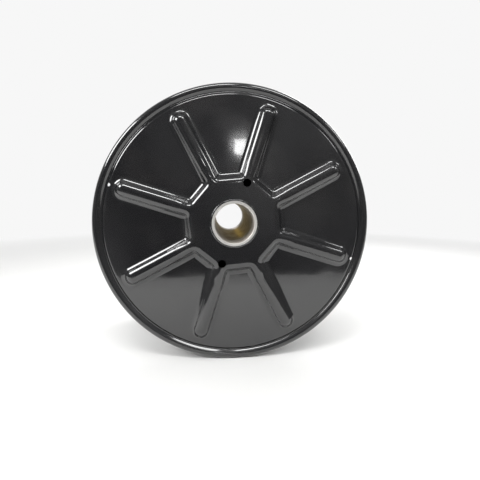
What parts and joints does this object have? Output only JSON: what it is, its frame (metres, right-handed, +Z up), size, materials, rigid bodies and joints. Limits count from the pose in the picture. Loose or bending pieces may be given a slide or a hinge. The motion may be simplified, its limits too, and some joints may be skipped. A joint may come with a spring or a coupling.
{
  "type": "pressed steel wire reel",
  "caption": "Black enamelled pressed steel reel for wire: ribbed flanges with rolled rims, a sheet barrel and a through bore tube.",
  "frame": {"origin": "on the reel's axis, midway between the two flanges", "axes": "Y along the reel's axis, the flange seen in the picture towards -Y, +Z up as the reel stands on its rims, X to the right"},
  "size_m": [0.4999, 0.276, 0.5],
  "materials": {
    "black_enamel": "high gloss",
    "bare_steel": "machined, lightly oiled"
  },
  "bodies": {
    "root": {"front_flange": "black_enamel", "rear_flange": "black_enamel", "barrel": "black_enamel", "bore_tube": "bare_steel", "front_hub_weld": "black_enamel", "rear_hub_weld": "black_enamel"}
  },
  "joints": []
}
